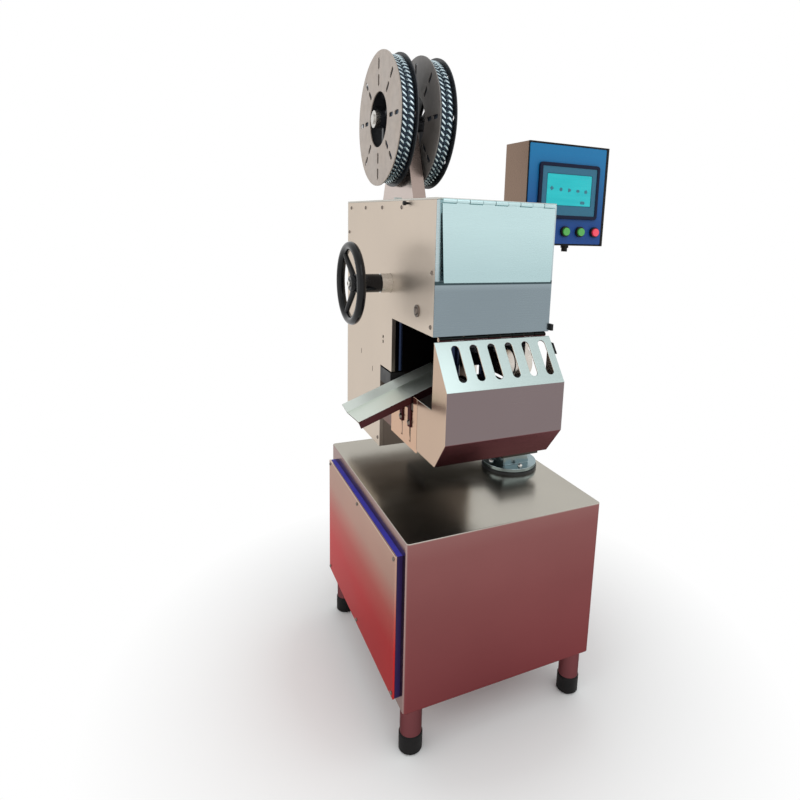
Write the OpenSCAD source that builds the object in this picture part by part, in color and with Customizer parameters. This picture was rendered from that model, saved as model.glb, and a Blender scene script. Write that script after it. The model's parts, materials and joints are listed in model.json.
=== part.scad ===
// Automatic double clipper for sausages on a floor cabinet.
// Origin: centre of the cabinet footprint on the floor, +Z up, front faces -Y, outlet side -X.

/* [Base cabinet] */
// Width of the cabinet
base_w = 500; // [420:5:600]
// Depth of the cabinet
base_d = 600; // [520:5:700]
// Height of the cabinet body
base_h = 405; // [330:5:480]
// Sheet thickness of the cabinet
base_wall = 4; // [2:0.5:6]
// Outer corner radius of the cabinet
base_r = 8; // [7:1:14]
// Diameter of the leg tubes
leg_dia = 50; // [40:1:60]
// Height of the leg tubes
leg_h = 73; // [50:1:110]
// Wall of the leg tubes
leg_wall = 4; // [2:0.5:6]
// Distance of the leg axes from the cabinet faces
leg_inset = 32; // [31:1:60]
// Diameter of the rubber feet
foot_dia = 54; // [44:1:60]
// Height of the rubber feet
foot_h = 47; // [30:1:60]

/* [Service cover] */
// Depth of the service cover
cover_d = 548; // [420:2:560]
// Height of the service cover
cover_h = 342; // [260:2:350]
// Thickness of the cover tray
cover_t = 5; // [4:1:12]
// Sheet thickness of the cover tray
cover_sheet = 3; // [2:0.5:3.5]
// Width of the cover's sealing rim
cover_rim = 20; // [18:1:26]
// Thickness of the gasket
gasket_t = 12; // [4:0.5:14]
// Thread diameter of the cover screws
screw_dia = 8; // [5:1:8]
// Radius of the screw heads
screw_head_r = 7; // [6:0.5:8]

/* [Swivel] */
// Distance of the swivel axis from the right side of the cabinet
swivel_in = 90; // [85:1:130]
// Distance of the swivel axis behind the centre
swivel_y = -19; // [-40:1:0]
// Diameter of the fixed ring
ring_dia = 150; // [146:2:170]
// Thickness of the fixed ring
ring_t = 7; // [5:0.5:12]
// Thickness of the turning flange
flange_t = 10; // [8:1:14]
// Side of the square column
column_side = 78; // [60:2:80]
// Diameter of the pivot spigot
spigot_dia = 60; // [40:2:60]
// Thickness of the bed plate under the head
bed_t = 30; // [20:1:36]

/* [Clipping head] */
// Width of the head
head_w = 276; // [250:2:300]
// Depth of the head
head_d = 620; // [580:5:680]
// Height of the head
head_h = 621; // [590:1:680]
// Centre of the head, right of the cabinet centre
head_shift = -54; // [-70:1:-40]
// Front of the head ahead of the cabinet centre
head_front = 272; // [260:1:290]
// Gap between the head and the cabinet
head_gap = 76; // [68:1:100]
// Thickness of the side plates
plate_t = 10; // [6:1:14]
// Sheet thickness of the head covers
sheet_t = 4; // [2:0.5:5]
// Height of the upper housing at the front
upper_h = 274; // [262:2:300]
// Depth of the product mouth
mouth_d = 242; // [236:2:260]
// Height of the recess behind the mouth
mouth_h = 130; // [120:2:140]
// Depth of the lower rear housing
lower_d = 298; // [280:2:310]

/* [Flap and guard] */
// Height of the front flap
flap_h = 160; // [140:2:180]
// Angle that the closed flap stands off, in degrees
flap_ajar = 2.5; // [0:0.5:4]
// Sheet thickness of flap and guard
door_t = 3; // [2:0.5:4]
// Radius of the hinge knuckles
knuckle_r = 4.5; // [4:0.25:5]
// Radius of the hinge pins
pin_r = 2; // [1.5:0.25:2.5]
// Reach of the guard ahead of the head
guard_out = 70; // [50:1:90]
// Height of the sloped guard face
guard_slope_h = 96; // [85:1:110]
// Height of the upright guard face
guard_face_h = 107; // [90:1:120]
// Depth of the lower guard bend
guard_turn_d = 48; // [36:1:56]
// Height of the lower guard bend
guard_turn_h = 63; // [50:1:70]
// Depth of the guard floor
guard_floor_d = 97; // [80:1:98]
// Height of the guard's side panels at the back
guard_back_h = 116; // [100:1:120]
// Number of slots in the guard
slot_n = 6; // [4:1:6]
// Width of the guard slots
slot_w = 18; // [12:1:22]
// Length of the guard slots
slot_l = 80; // [60:1:84]

/* [Outlet chute] */
// Width of the chute floor
chute_w = 106; // [90:2:108]
// Length of the chute
chute_l = 238; // [210:2:244]
// Slope of the chute in degrees
chute_angle = 21; // [15:1:24]
// Height of the chute's back wall
chute_wall = 25; // [16:1:26]
// Sheet thickness of chute and skirt
chute_t = 3; // [2:0.5:4]
// Height of the skirt plate
skirt_h = 88; // [82:1:92]

/* [Drive and clipping] */
// Diameter of the main shaft
shaft_dia = 25; // [20:1:30]
// Outer diameter of the handwheel
wheel_dia = 190; // [160:5:210]
// Radius of the handwheel rim section
rim_r = 10; // [8:0.5:12]
// Distance of the handwheel rim from the head
wheel_out = 95; // [85:1:110]
// Diameter of the guide columns
guide_dia = 24; // [18:1:28]
// Distance between the guide columns
guide_gap = 80; // [70:1:90]
// Distance between the two clips
clip_gap = 50; // [40:1:56]
// Diameter of the rams
ram_dia = 30; // [20:1:34]
// Opening between punch and die at rest
jaw_gap = 66; // [64:1:70]

/* [Clip reels] */
// Diameter of the reel flanges
reel_dia = 334; // [300:2:340]
// Overall width of a reel
reel_w = 46; // [40:1:52]
// Thickness of the reel flanges
reel_flange_t = 2.5; // [2:0.25:3.5]
// Height of the reel axis above the head
reel_rise = 208; // [190:1:230]
// Outer diameter of the wound clips
roll_dia = 322; // [260:2:324]
// Number of clips in one turn
clip_n = 84; // [60:1:90]
// Diameter of the reel drum
drum_dia = 160; // [140:1:170]
// Diameter of the reel shaft
reel_shaft_dia = 25; // [20:1:28]
// Width of the reel post
post_w = 36; // [28:1:44]

/* [Control box] */
// Width of the control box
box_w = 272; // [250:2:280]
// Height of the control box
box_h = 280; // [260:2:300]
// Depth of the control box
box_d = 120; // [100:2:130]
// Sheet thickness of the control box
box_wall = 2; // [1.5:0.25:3]
// Width of the operator screen's bezel
hmi_w = 204; // [180:1:220]
// Height of the operator screen's bezel
hmi_h = 150; // [130:1:156]
// Diameter of the button holes
button_hole = 22; // [20:0.5:24]
// Pitch of the buttons
button_pitch = 52; // [40:1:56]
// Travel of the buttons
button_travel = 4; // [3:0.25:4.5]

/* [Clearances] */
// Radial clearance of turning and sliding fits
run = 0.05; // [0.02:0.01:0.1]
// Clearance of screws in their holes
screw_clear = 0.3; // [0.2:0.05:0.5]
// Gap between parts that move past each other
gap = 0.4; // [0.3:0.1:1]

/* [Hidden] */
$fn = 64;
base_z = foot_h + leg_h;
base_top = base_z + base_h;
cover_x1 = -base_w / 2 - gasket_t;
cover_x0 = cover_x1 - cover_t;
cover_mid_z = base_z + base_h / 2 - 4;
cover_y0 = -cover_d / 2 - 4;
cover_z0 = cover_mid_z - cover_h / 2;
cover_screws_at = [for (u = [0, 0.5, 1], v = [0, 1])
    [cover_y0 + cover_rim / 2 + u * (cover_d - cover_rim),
     cover_z0 + cover_rim / 2 + v * (cover_h - cover_rim)]];
screw_hole_r = screw_dia / 2 + screw_clear;
cover_head_r = 5;

head_x0 = head_shift - head_w / 2;
head_x1 = head_x0 + head_w;
head_y0 = -head_front;
head_y1 = head_y0 + head_d;
head_z0 = base_top + head_gap;
head_z1 = head_z0 + head_h;
upper_z = head_z1 - upper_h;
mouth_y = head_y0 + mouth_d;
mouth_z = upper_z - mouth_h;
lower_y = head_y1 - lower_d;
plate_y0 = head_y0 + sheet_t;
plate_y1 = head_y1 - sheet_t;
plate_z1 = head_z1 - sheet_t;
inner_x0 = head_x0 + plate_t;
inner_w = head_w - 2 * plate_t;
inlet_y = mouth_y - 168;
inlet_z = mouth_z - 14;
horn_r = 30;
horn_wall = 6;
ceiling_z = upper_z + sheet_t;

swivel_x = base_w / 2 - swivel_in;
flange_z = base_top + ring_t + gap;
flange_top = flange_z + flange_t;
bed_z = head_z0 - bed_t;
flange_dia = ring_dia - 4;
flange_bolt_at = (flange_dia / 2 + column_side / 2) / 2;

knuckle_off = knuckle_r + gap;
leaf_t = 1.5;
flap_inset = 8;
flap_z0 = head_z1 - flap_h - 4;
flap_axis = [head_y0 - knuckle_off, head_z1 - knuckle_off - 1];
flap_x0 = head_x0 + flap_inset;
flap_w = head_w - 2 * flap_inset;
guard_axis = [head_y0, upper_z - knuckle_off];
guard_b = [head_y0 - guard_out, upper_z - guard_slope_h];
guard_c = guard_b - [0, guard_face_h];
guard_d = guard_c + [guard_turn_d, -guard_turn_h];
guard_e = guard_d + [guard_floor_d, 0];
guard_f = guard_e + [0, guard_back_h];
guard_g = [head_y0, guard_f[1]];
guard_slope = norm(guard_b - guard_axis);
guard_tilt = atan2(guard_b[1] - guard_axis[1], guard_b[0] - guard_axis[0]);
slot_pitch = head_w * 0.15;
slot_shift = 8;
knuckles = 9;

shaft_y = mouth_y + 18;
shaft_z = upper_z + 82;
shaft_r = shaft_dia / 2;
collar_r = shaft_r + 10;
collar_l = 25;
hub_l = 72;
hub_x0 = head_x0 - collar_l - gap - hub_l;
wheel_x = head_x0 - wheel_out;
rim_mid = wheel_dia / 2 - rim_r;
gear_x0 = inner_x0 + 22;
gear_w = inner_w - 46;
gear_y0 = head_y0 + 72;
gear_y1 = shaft_y + 42;
gear_z1 = shaft_z + 102;
motor_r = 72;
motor_z = (ceiling_z + gear_z1) / 2;
motor_l = plate_y1 - gear_y1 - 44;

tool_x = head_shift + 40;
ram_y = head_y0 + 120;
guide_y = mouth_y - 62;
guide_r = guide_dia / 2;
die_top = mouth_z + 2;
punch_z = die_top + jaw_gap;
punch_block_z = punch_z + 17;
punch_block_h = 38;
jaw_top = die_top - 55;
jaw_t = 55;
jaw_y0 = ram_y - 40;
block_y0 = ram_y - 38;
ram_r = ram_dia / 2;

skirt_y0 = guard_e[0] + 1.5;
skirt_y1 = mouth_y - 6;
skirt_z0 = guard_e[1] - 7;
chute_y0 = skirt_y0 + 29.5;
chute_z = skirt_z0 + skirt_h + 19;
chute_slots = [skirt_y0 + 38, skirt_y0 + 88];
chute_screw_z = skirt_z0 + skirt_h - 28;
chute_inside = 114;
chute_lip = 14;
chute_rise = 12;
tab_t = chute_t;
nut_r = 8;

reel_back = 133;
reel_y = head_y1 - reel_back;
reel_z = head_z1 + reel_rise;
reel_shaft_r = reel_shaft_dia / 2;
post_x0 = head_shift - 22 - post_w / 2;
reel_spacer = 10;
reel_x = [post_x0 - reel_spacer - reel_w, post_x0 + post_w + reel_spacer];
reel_stop = 12;
reel_eye_r = drum_dia / 2 - 11;
drum_t = 4;

box_out = 152;
box_back = 362;
box_drop = 101;
box_x0 = head_x1 + box_out;
box_y0 = head_y0 + box_back;
box_z0 = head_z1 - box_drop;
bracket_h = 120;
box_mid = box_x0 + box_w / 2;
seal_t = 2;
panel_t = 3;
panel_inset = 5;
panel_x0 = box_x0 + 2;
panel_w = box_w - 11;
panel_y = box_y0 - seal_t - panel_t;
hmi_z0 = box_z0 + box_h - 54 - hmi_h;
hmi_t = 6;
screen_w = hmi_w - 50;
screen_h = hmi_h - 64;
button_z = box_z0 + 40;
button_x = [for (i = [0:2]) box_mid - 4 + i * button_pitch];
bezel_r = button_hole / 2 + 3.75;
cap_r = button_hole / 2;
stem_r = button_hole / 2 - 3;
bezel_l = 8;
bezel_floor = 1;
barrel_l = 25;
pivot_y = box_y0 + box_d + 40;
pivot_r = 14;
arm_side = 40;
arm_z1 = box_z0 - 11;
boss_r = 26;

// Extrudes a (y, z) outline along X.
module along_x(x0, length) {
    translate([x0, 0, 0])
        rotate([90, 0, 90])
            linear_extrude(length)
                children();
}

// Rod along X at a (y, z) place.
module rod_x(x0, length, at, r) {
    translate([x0, at[0], at[1]])
        rotate([0, 90, 0])
            cylinder(r = r, h = length);
}

// Rectangle with round corners, centred.
module round_rect(w, d, r) {
    square([w - 2 * r, d], center = true);
    square([w, d - 2 * r], center = true);
    for (x = [-1, 1], y = [-1, 1])
        translate([x * (w / 2 - r), y * (d / 2 - r)])
            circle(r);
}

// Sheet strip from point p to point q with its thickness on the left side.
module strip(p, q, t) {
    translate(p)
        rotate(atan2(q[1] - p[1], q[0] - p[0]))
            square([norm(q - p), t]);
}

// Dome-headed screw, head on +Z, shank below.
module dome_screw(head_r, head_h, shank_r, shank_l) {
    ball_r = (head_r * head_r + head_h * head_h) / (2 * head_h);
    rotate_extrude()
        intersection() {
            translate([0, head_h - ball_r])
                circle(ball_r);
            square([head_r, head_h]);
        }
    translate([0, 0, -shank_l])
        cylinder(r = shank_r, h = shank_l);
}

// Fixed half of a hinge: pin, every second knuckle and a leaf turned by the given angle.
module hinge_fixed(axis, x0, length, leaf_h, leaf_turn) {
    pitch = length / knuckles;
    rod_x(x0, length, axis, pin_r);
    for (i = [0:2:knuckles - 1]) {
        rod_x(x0 + i * pitch + gap, pitch - 2 * gap, axis, knuckle_r);
        along_x(x0 + i * pitch + gap, pitch - 2 * gap)
            translate(axis)
                rotate(leaf_turn)
                    translate([knuckle_off - leaf_t, -knuckle_off - 1])
                        square([leaf_t, knuckle_off + 1]);
    }
    along_x(x0, length)
        translate(axis)
            rotate(leaf_turn)
                translate([knuckle_off - leaf_t, -leaf_h])
                    square([leaf_t, leaf_h - knuckle_off]);
}

// Moving half of a hinge: the other knuckles with webs of thickness t, bored for the pin.
module hinge_moving(axis, x0, length, turn, side, t) {
    pitch = length / knuckles;
    for (i = [1:2:knuckles - 1])
        difference() {
            union() {
                rod_x(x0 + i * pitch + gap, pitch - 2 * gap, axis, knuckle_r);
                along_x(x0 + i * pitch + gap, pitch - 2 * gap)
                    translate(axis)
                        rotate(turn)
                            translate([0, side])
                                square([knuckle_off + 1, t]);
            }
            rod_x(x0, length, axis, pin_r + run);
        }
}

// Side outline of the head: tall at the rear, with the product mouth cut out up to a (y, z) corner.
module head_outline(corner) {
    polygon([[plate_y1, head_z0], [lower_y, head_z0], [lower_y, corner[1]], corner,
        [corner[0], upper_z], [plate_y0, upper_z], [plate_y0, plate_z1], [plate_y1, plate_z1]]);
}

plate_holes_at = [[lower_y - 18, mouth_z + 75], [lower_y - 18, mouth_z + 63]];
plate_slits_at = [[plate_y1 - 134, mouth_z + 2], [plate_y1 - 232, mouth_z - 25]];
plate_hole_r = 4;
plate_slit = [3, 13];
plate_screws_at = concat(
    [for (u = [0.03, 0.24, 0.45, 0.66]) [plate_y1 - 14 - u * head_d, plate_z1 - 14]],
    [[plate_y0 + 14, upper_z + 128], [plate_y0 + 14, upper_z + 18], [plate_y1 - 14, plate_z1 - 80],
     [plate_y1 - 14, head_z0 + 20], [lower_y + 14, head_z0 + 20]]);

module base_cabinet() {
    color("silver")
        difference() {
            translate([0, 0, base_z])
                linear_extrude(base_h)
                    round_rect(base_w, base_d, base_r);
            translate([0, 0, base_z + base_wall])
                linear_extrude(base_h - 2 * base_wall)
                    round_rect(base_w - 2 * base_wall, base_d - 2 * base_wall, base_r - base_wall);
            translate([-base_w / 2 - 1, cover_y0 + cover_rim, cover_z0 + cover_rim])
                cube([base_wall + 2, cover_d - 2 * cover_rim, cover_h - 2 * cover_rim]);
            for (at = cover_screws_at)
                rod_x(-base_w / 2 - 1, base_wall + 2, at, screw_hole_r);
        }
}

module side_cover() {
    color("silver")
        difference() {
            translate([cover_x0, cover_y0, cover_z0])
                cube([cover_t, cover_d, cover_h]);
            translate([cover_x0 + cover_sheet, cover_y0 + cover_rim, cover_z0 + cover_rim])
                cube([cover_t, cover_d - 2 * cover_rim, cover_h - 2 * cover_rim]);
            for (at = cover_screws_at)
                rod_x(cover_x0 - 1, cover_t + 2, at, screw_hole_r);
        }
}

module cover_gasket() {
    lip = 1;
    color("mediumblue")
        difference() {
            translate([cover_x1, cover_y0 + lip, cover_z0 + lip])
                cube([gasket_t, cover_d - 2 * lip, cover_h - 2 * lip]);
            translate([cover_x1 - 1, cover_y0 + cover_rim, cover_z0 + cover_rim])
                cube([gasket_t + 2, cover_d - 2 * cover_rim, cover_h - 2 * cover_rim]);
            for (at = cover_screws_at)
                rod_x(cover_x1 - 1, gasket_t + 2, at, screw_hole_r);
        }
}

module cover_screws() {
    color("gainsboro")
        for (at = cover_screws_at)
            translate([cover_x0, at[0], at[1]])
                rotate([0, -90, 0])
                    dome_screw(cover_head_r, 3, screw_dia / 2, cover_t + gasket_t + base_wall);
}

// Places its children at the four leg axes.
module at_legs() {
    for (x = [-1, 1], y = [-1, 1])
        translate([x * (base_w / 2 - leg_inset), y * (base_d / 2 - leg_inset), 0])
            children();
}

module legs() {
    color("silver")
        at_legs()
            translate([0, 0, foot_h])
                difference() {
                    cylinder(d = leg_dia, h = leg_h);
                    translate([0, 0, -1])
                        cylinder(d = leg_dia - 2 * leg_wall, h = leg_h + 2);
                }
}

module feet() {
    edge = 4;
    color("black")
        at_legs()
            rotate_extrude()
                polygon([[0, 0], [foot_dia / 2 - edge, 0], [foot_dia / 2, edge],
                    [foot_dia / 2, foot_h - edge], [foot_dia / 2 - edge, foot_h], [0, foot_h]]);
}

gear_plate_x = base_w / 2 - base_wall - 4;
unit_d = 120;
unit_h = 190;
unit_w = 110;

module mounting_plate() {
    color("gainsboro")
        translate([gear_plate_x, -base_d / 2 + 60, base_z + 50])
            cube([4, base_d - 120, base_h - 100]);
}

module electrical_gear() {
    depth = unit_d * [1, 0.58, 0.38];
    tall = unit_h * [1, 0.68, 0.47];
    color("dimgray")
        for (i = [0:2])
            translate([gear_plate_x - depth[i], -base_d / 2 + 85 + i * (base_d - 150) / 3,
                    base_z + base_h / 2 - tall[i] / 2])
                cube([depth[i], unit_w, tall[i]]);
}

module swivel_ring() {
    color("dimgray")
        translate([swivel_x, swivel_y, base_top])
            difference() {
                cylinder(d = ring_dia, h = ring_t);
                translate([0, 0, -1])
                    cylinder(r = spigot_dia / 2 + run, h = ring_t + 2);
            }
}

// Places its children at the four flange bolts.
module at_flange_bolts() {
    for (a = [0:90:270])
        translate([swivel_x, swivel_y, flange_top])
            rotate(a)
                translate([flange_bolt_at, 0, 0])
                    children();
}

module swivel_column() {
    color("lightsteelblue") {
        difference() {
            translate([swivel_x, swivel_y, flange_z])
                cylinder(d = flange_dia, h = flange_t);
            at_flange_bolts()
                translate([0, 0, -flange_t - 1])
                    cylinder(r = 4 + screw_clear, h = flange_t + 2);
        }
        translate([swivel_x, swivel_y, base_top + gap])
            cylinder(d = spigot_dia, h = ring_t + flange_t);
        translate([swivel_x, swivel_y, flange_top])
            linear_extrude(bed_z - flange_top)
                round_rect(column_side, column_side, 6);
    }
}

module flange_bolts() {
    color("gainsboro")
        at_flange_bolts()
            dome_screw(6.5, 7, 4, flange_t - 1);
}

module bed_plate() {
    side = column_side / 2 + 16;
    color("gray")
        translate([0, 0, bed_z])
            linear_extrude(bed_t)
                polygon([[swivel_x - side, swivel_y - side], [swivel_x + side, swivel_y - side],
                    [swivel_x + side, swivel_y + side + 40], [head_x1, lower_y + 150],
                    [head_shift, lower_y + 150], [head_shift, lower_y + 12],
                    [swivel_x - side, lower_y - 40]]);
}

// Side plate of the head, drilled for its cover screws.
module side_plate(x0, corner) {
    difference() {
        along_x(x0, plate_t)
            head_outline(corner);
        for (at = plate_screws_at)
            rod_x(x0 - 1, plate_t + 2, at, 3 + screw_clear);
    }
}

module left_side_plate() {
    color("tan")
        difference() {
            side_plate(head_x0, [mouth_y, mouth_z]);
            rod_x(head_x0 - 1, plate_t + 2, [shaft_y, shaft_z], collar_r);
            for (at = plate_holes_at)
                rod_x(head_x0 - 1, plate_t + 2, at, plate_hole_r);
            for (at = plate_slits_at)
                along_x(head_x0 - 1, plate_t + 2)
                    translate(at)
                        square(plate_slit, center = true);
        }
}

module right_side_plate() {
    horn_l = 46;
    horn_at = [ram_y, (die_top + punch_z) / 2];
    color("tan")
        difference() {
            union() {
                side_plate(head_x1 - plate_t, [inlet_y, inlet_z]);
                rod_x(head_x1 - plate_t - 16, horn_l, horn_at, horn_r + horn_wall);
            }
            rod_x(head_x1 - plate_t - 17, horn_l + 2, horn_at, horn_r);
        }
}

module inner_liner() {
    color("dimgray")
        difference() {
            along_x(inner_x0, inner_w) {
                translate([lower_y, head_z0])
                    square([plate_y1 - lower_y, sheet_t]);
                translate([lower_y, head_z0])
                    square([sheet_t, mouth_z - head_z0 + sheet_t]);
                translate([mouth_y, mouth_z])
                    square([lower_y - mouth_y + sheet_t, sheet_t]);
                translate([mouth_y, mouth_z])
                    square([sheet_t, mouth_h + sheet_t]);
                translate([plate_y0, upper_z])
                    square([mouth_y - plate_y0 + sheet_t, sheet_t]);
            }
            for (x = [-1, 1])
                translate([tool_x + x * guide_gap / 2, guide_y, upper_z - 1])
                    cylinder(r = guide_r + screw_clear, h = sheet_t + 2);
            translate([tool_x, ram_y, upper_z - 1])
                cylinder(r = ram_r + 1, h = sheet_t + 2);
        }
}

module front_panel() {
    frame = 26;
    color("lightslategray")
        difference() {
            translate([head_x0, head_y0, upper_z])
                cube([head_w, sheet_t, plate_z1 - upper_z]);
            translate([head_x0 + frame, head_y0 - 1, flap_z0 + 14])
                cube([head_w - 2 * frame, sheet_t + 2, flap_h - 14 - 48]);
        }
}

module top_cover() {
    color("lightgray")
        difference() {
            translate([head_x0, head_y0, plate_z1])
                cube([head_w, head_d, sheet_t]);
            for (x = reel_x)
                translate([x + reel_w / 2 - 9, reel_y - 95 - 6, plate_z1 - 1])
                    cube([18, 12, sheet_t + 2]);
        }
}

module rear_cover() {
    vents = 9;
    color("lightgray")
        difference() {
            translate([head_x0, plate_y1, head_z0])
                cube([head_w, sheet_t, plate_z1 - head_z0]);
            for (i = [0:vents - 1])
                translate([head_shift - 70, plate_y1 - 1, motor_z - 72 + i * 18])
                    cube([140, sheet_t + 2, 6]);
        }
}

module plate_screws() {
    color("gainsboro")
        for (at = plate_screws_at) {
            translate([head_x0, at[0], at[1]])
                rotate([0, -90, 0])
                    dome_screw(5, 3, 3, plate_t - 1);
            translate([head_x1, at[0], at[1]])
                rotate([0, 90, 0])
                    dome_screw(5, 3, 3, plate_t - 1);
        }
}

module flap_hinge() {
    color("silver")
        hinge_fixed(flap_axis, flap_x0, flap_w, 24, 0);
}

module front_flap() {
    taper = 5;
    reach = flap_axis[1] - flap_z0;
    flap_x1 = flap_x0 + flap_w;
    color("lightcyan") {
        translate([0, flap_axis[0], flap_axis[1]])
            rotate([-90 - flap_ajar, 0, 0])
                translate([0, 0, -door_t / 2])
                    linear_extrude(door_t)
                        polygon([[flap_x0, knuckle_off], [flap_x1, knuckle_off],
                            [flap_x1 - taper, reach], [flap_x0 + taper, reach]]);
        hinge_moving(flap_axis, flap_x0, flap_w, -90 - flap_ajar, -door_t / 2, door_t);
    }
}

module guard_hinge() {
    color("silver")
        hinge_fixed(guard_axis, inner_x0, inner_w, 26, 90);
}

module front_guard() {
    start = guard_axis + [cos(guard_tilt), sin(guard_tilt)] * knuckle_off;
    color("lightcyan") {
        difference() {
            along_x(head_x0, head_w) {
                strip(start, guard_b, door_t);
                strip(guard_b, guard_c, door_t);
                strip(guard_c, guard_d, door_t);
                strip(guard_d, guard_e, door_t);
            }
            for (i = [0:slot_n - 1])
                translate([head_shift + slot_shift + (i - (slot_n - 1) / 2) * slot_pitch,
                        guard_axis[0], guard_axis[1]])
                    rotate([guard_tilt - 180, 0, 0])
                        translate([0, -guard_slope * 0.48, -door_t - 1])
                            linear_extrude(2 * door_t + 2) {
                                square([slot_w, slot_l - slot_w], center = true);
                                for (s = [-1, 1])
                                    translate([0, s * (slot_l - slot_w) / 2])
                                        circle(slot_w / 2);
                            }
        }
        for (x = [head_x0, head_x1 - door_t])
            along_x(x, door_t)
                polygon([start, guard_b, guard_c, guard_d, guard_e, guard_f, guard_g]);
        hinge_moving(guard_axis, inner_x0, inner_w, guard_tilt, 0, door_t);
    }
}

module interlock_switch() {
    outlet = [36, 74, 36];
    color("black") {
        translate([head_x1, head_y0 - 8, upper_z + 3])
            cube([6, 14, 14]);
        translate([head_x0 + gap, lower_y - outlet[1], mouth_z - 4 - outlet[2]])
            cube(outlet);
    }
}

module interlock_key() {
    color("black")
        along_x(head_x1, 5)
            polygon([for (p = [[0.2, 0], [0.43, 0], [0.43, 12], [0.2, 12]])
                guard_axis + p[0] * (guard_b - guard_axis) + [p[1], 0]]);
}

module skirt_plate() {
    color("lightgray")
        difference() {
            along_x(head_x0, chute_t)
                polygon([[skirt_y0, skirt_z0], [skirt_y1, skirt_z0], [skirt_y1, skirt_z0 + skirt_h],
                    [chute_y0 - 8, skirt_z0 + skirt_h], [chute_y0 - 8, guard_f[1]],
                    [skirt_y0, guard_f[1]]]);
            for (y = chute_slots)
                translate([head_x0 - 1, y - screw_dia / 2 - gap, skirt_z0 + 14])
                    cube([chute_t + 2, screw_dia + 2 * gap, skirt_h - 26]);
        }
}

module skirt_bracket() {
    color("saddlebrown")
        translate([head_x0 + chute_t, skirt_y1 - 24, skirt_z0 + 6])
            cube([8, lower_y - skirt_y1 + 24, 50]);
}

// Height of the chute floor's underside above its crease, at a place across the chute.
function chute_floor(y) = chute_rise * (1 - (y - chute_y0) / chute_w);

module chute() {
    back_y = chute_y0 + chute_w;
    top_y = back_y + chute_wall;
    half = 8;
    seat = 1.2;
    color("lightgray") {
        translate([head_x0, 0, chute_z])
            rotate([0, -chute_angle, 0])
                along_x(chute_inside - chute_l, chute_l)
                    polygon([[chute_y0, chute_rise - chute_lip], [chute_y0, chute_rise + chute_t],
                        [back_y, chute_t], [top_y, chute_wall / 2 + chute_t], [top_y, chute_wall / 2],
                        [back_y, 0], [chute_y0 + chute_t, chute_floor(chute_y0 + chute_t)],
                        [chute_y0 + chute_t, chute_rise - chute_lip]]);
        difference() {
            for (y = chute_slots)
                along_x(head_x0 - tab_t - gap, tab_t)
                    polygon([[y - half, chute_screw_z - 11], [y + half, chute_screw_z - 11],
                        [y + half, chute_z + chute_floor(y + half) + seat],
                        [y - half, chute_z + chute_floor(y - half) + seat]]);
            for (y = chute_slots)
                rod_x(head_x0 - tab_t - gap - 1, tab_t + 2, [y, chute_screw_z], screw_hole_r);
        }
    }
}

module chute_screws() {
    color("gainsboro")
        for (y = chute_slots) {
            translate([head_x0 - tab_t - gap, y, chute_screw_z])
                rotate([0, -90, 0])
                    dome_screw(screw_head_r, 4, screw_dia / 2, tab_t + chute_t + 8);
            rod_x(head_x0 + chute_t + gap, 6, [y, chute_screw_z], nut_r);
        }
}

module shaft_bearing() {
    color("silver")
        difference() {
            union() {
                rod_x(head_x0 - collar_l, collar_l, [shaft_y, shaft_z], collar_r);
                rod_x(head_x0, plate_t, [shaft_y, shaft_z], collar_r - 0.05);
            }
            rod_x(head_x0 - collar_l - 1, collar_l + plate_t + 2, [shaft_y, shaft_z], shaft_r + run);
        }
}

module main_shaft() {
    end = gear_x0 + 100;
    color("gray")
        rod_x(hub_x0 + 3, end - hub_x0 - 3, [shaft_y, shaft_z], shaft_r);
}

module handwheel() {
    spoke_r = 7;
    reach = hub_x0 + hub_l / 6 - wheel_x;
    color("black") {
        translate([wheel_x, shaft_y, shaft_z])
            rotate([0, 90, 0])
                rotate_extrude()
                    translate([rim_mid, 0])
                        circle(rim_r);
        difference() {
            union() {
                rod_x(hub_x0, hub_l, [shaft_y, shaft_z], collar_r - 1);
                for (a = [55, 175, 295])
                    translate([wheel_x + reach, shaft_y, shaft_z])
                        rotate([a, 0, 0])
                            rotate([0, 0, atan2(rim_mid, -reach)])
                                rotate([0, 90, 0])
                                    cylinder(r = spoke_r, h = norm([reach, rim_mid]));
            }
            rod_x(hub_x0 + 3, hub_l, [shaft_y, shaft_z], shaft_r + run);
        }
    }
}

module gearbox() {
    color("slategray")
        difference() {
            translate([gear_x0, gear_y0, ceiling_z])
                cube([gear_w, gear_y1 - gear_y0, gear_z1 - ceiling_z]);
            rod_x(gear_x0 - 1, 103, [shaft_y, shaft_z], shaft_r + run);
            translate([tool_x, ram_y, ceiling_z - 1])
                cylinder(r = ram_r + run, h = 67);
        }
}

module drive_motor() {
    color("steelblue")
        translate([head_shift, gear_y1, motor_z])
            rotate([-90, 0, 0]) {
                cylinder(r = motor_r + 8, h = 14);
                cylinder(r = motor_r, h = motor_l);
                for (i = [0:5])
                    translate([0, 0, 40 + i * 22])
                        cylinder(r = motor_r + 6, h = 8);
            }
}

// Places its children at the two guide columns.
module at_guides() {
    for (x = [-1, 1])
        translate([tool_x + x * guide_gap / 2, guide_y, 0])
            children();
}

module guide_columns() {
    rod_r = 4.5;
    color("midnightblue") {
        at_guides()
            translate([0, 0, jaw_top])
                cylinder(r = guide_r, h = ceiling_z - jaw_top);
        translate([inner_x0 + 11, mouth_y - rod_r - gap, mouth_z + 4])
            cylinder(r = rod_r, h = upper_z - mouth_z - 4);
    }
}

module lower_jaw() {
    half = guide_gap / 2 + guide_r + 13;
    color("darkslategray")
        difference() {
            translate([tool_x - half, jaw_y0, jaw_top - jaw_t])
                cube([2 * half, lower_y - jaw_y0, jaw_t]);
            translate([tool_x, ram_y, jaw_top - jaw_t - 1])
                cylinder(r = ram_r + run, h = jaw_t + 2);
        }
}

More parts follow.
